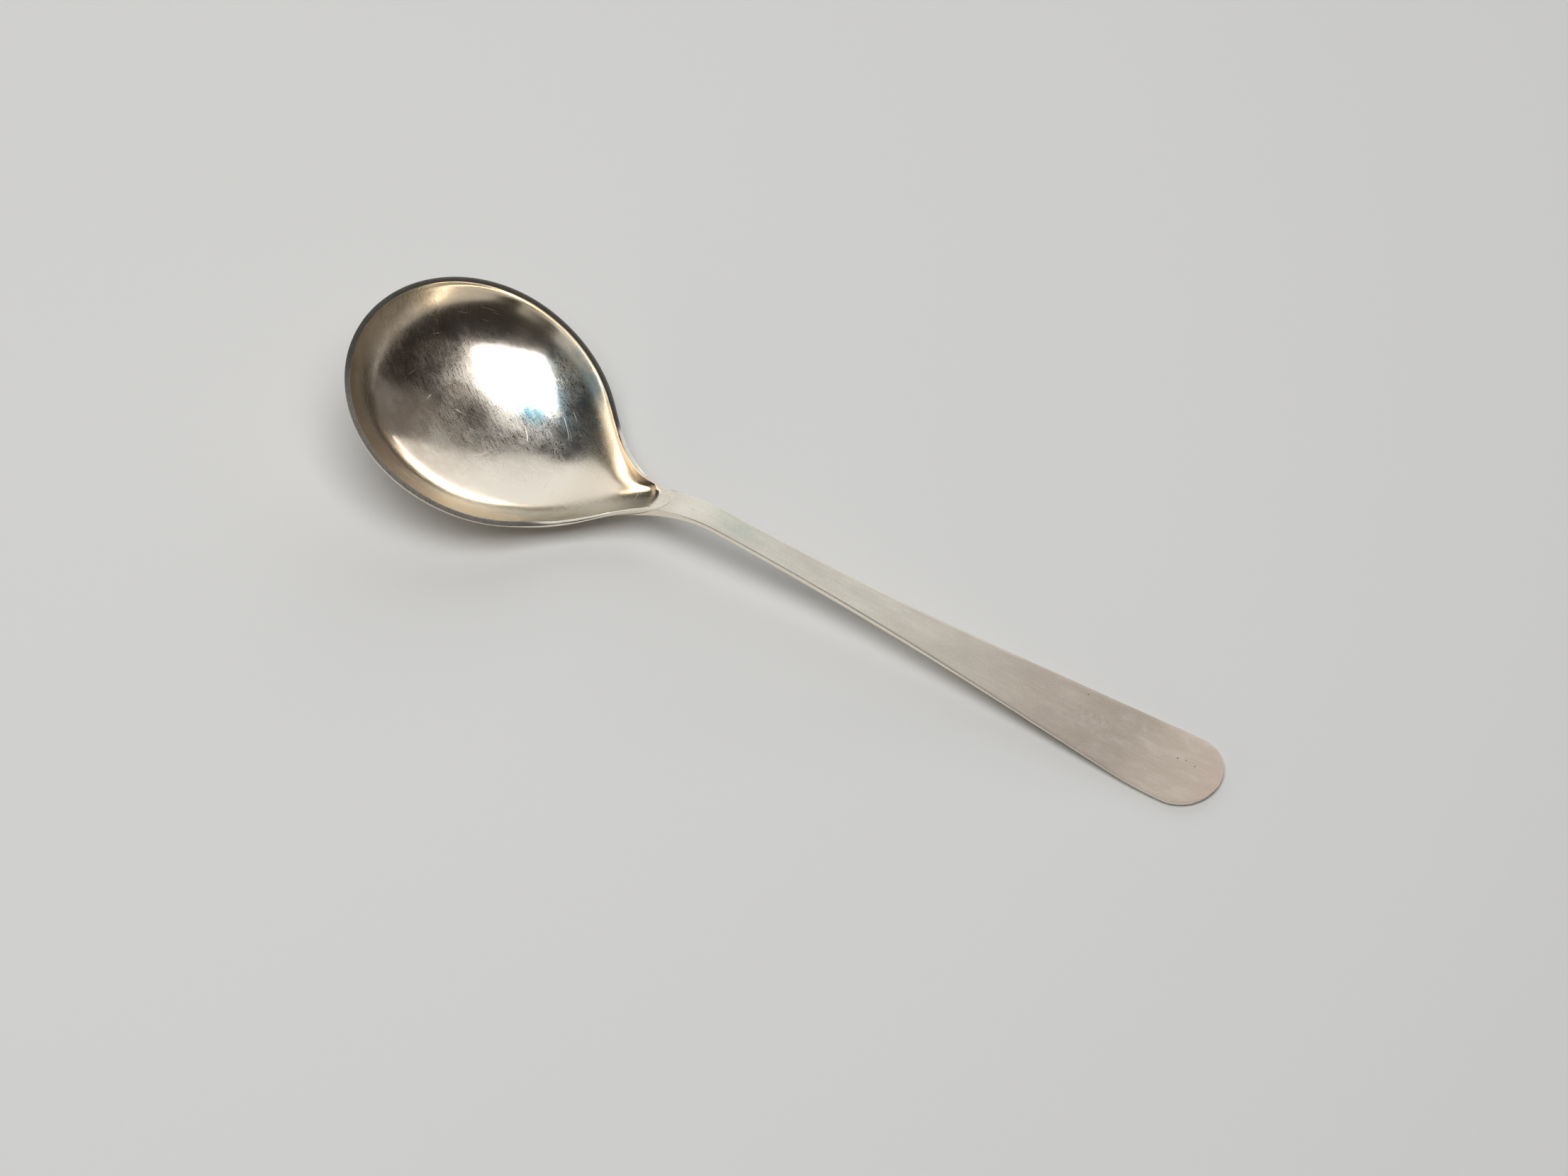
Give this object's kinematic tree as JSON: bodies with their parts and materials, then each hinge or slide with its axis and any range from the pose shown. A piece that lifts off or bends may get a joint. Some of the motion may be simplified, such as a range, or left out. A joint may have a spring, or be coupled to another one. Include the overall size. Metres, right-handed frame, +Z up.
{
  "type": "soup spoon",
  "caption": "Soup spoon with a broad pear-shaped bowl, a narrow upswept neck and a flat handle that widens to a round end, for eating soup and serving sauces.",
  "frame": {"origin": "on the table, under the middle of the spoon's length and width, with the spoon lying at rest on its bowl and the end of its handle", "axes": "+X from the bowl to the end of the handle, +Y across the spoon, +Z up from the table"},
  "size_m": [0.1802, 0.051, 0.0261],
  "materials": {
    "polished_silver": "polished",
    "satin_silver": "satin",
    "solder": "satin"
  },
  "bodies": {
    "root": {"bowl": "polished_silver", "handle": "satin_silver", "solder_seam": "solder"}
  },
  "joints": []
}
